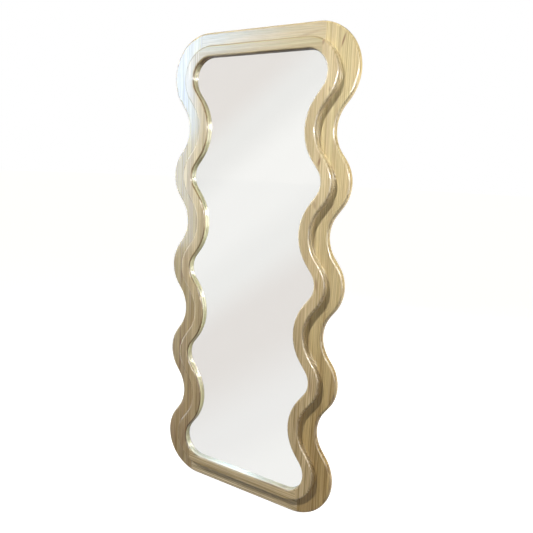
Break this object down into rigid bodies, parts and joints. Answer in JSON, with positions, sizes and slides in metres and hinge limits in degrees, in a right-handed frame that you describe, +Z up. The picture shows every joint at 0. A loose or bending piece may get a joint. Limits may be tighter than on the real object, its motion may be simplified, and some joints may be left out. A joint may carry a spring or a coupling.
{
  "type": "floor mirror",
  "caption": "Tall full-length floor mirror with a wavy-sided light wood frame built in two stepped layers around a recessed plain mirror, with swinging hanger rings on the back.",
  "frame": {"origin": "on the floor, under the middle of the whole part in width and depth", "axes": "+Z up along the long side, +X to the right across the mirror as seen from the front, the mirror faces -Y"},
  "size_m": [0.738, 0.045, 1.702],
  "materials": {
    "wood_light": "clear gloss lacquer on straight-grained light wood",
    "mirror": "silvered float glass",
    "film": "woven safety film",
    "foam": "soft expanded foam",
    "board": "smooth hardboard",
    "screws": "zinc plated",
    "dowels": "raw beech",
    "zinc": "zinc plated",
    "rubber": "matte rubber"
  },
  "bodies": {
    "frame": {"back_top_rail": "wood_light", "back_bottom_rail": "wood_light", "back_left_stile": "wood_light", "back_right_stile": "wood_light", "face_top_rail": "wood_light", "face_bottom_rail": "wood_light", "face_left_stile": "wood_light", "face_right_stile": "wood_light", "mirror_glass": "mirror", "safety_film": "film", "foam_sheet": "foam", "back_panel": "board", "back_panel_screws": "screws", "back_layer_dowels": "dowels", "face_layer_dowels": "dowels", "left_hanger_strap": "zinc", "right_hanger_strap": "zinc", "hanger_screws": "screws", "wall_bumpers": "rubber", "floor_pads": "rubber"},
    "left_ring": {"left_hanger_ring": "zinc"},
    "right_ring": {"right_hanger_ring": "zinc"}
  },
  "joints": [
    {"name": "left_ring_swing", "type": "hinge", "parent": "frame", "child": "left_ring", "pos_m": [-0.32872, 0.0185, 1.552], "axis": [1, 0, 0], "range_deg": [0, 180]},
    {"name": "right_ring_swing", "type": "hinge", "parent": "frame", "child": "right_ring", "pos_m": [0.32872, 0.0185, 1.552], "axis": [1, 0, 0], "range_deg": [0, 180]}
  ]
}
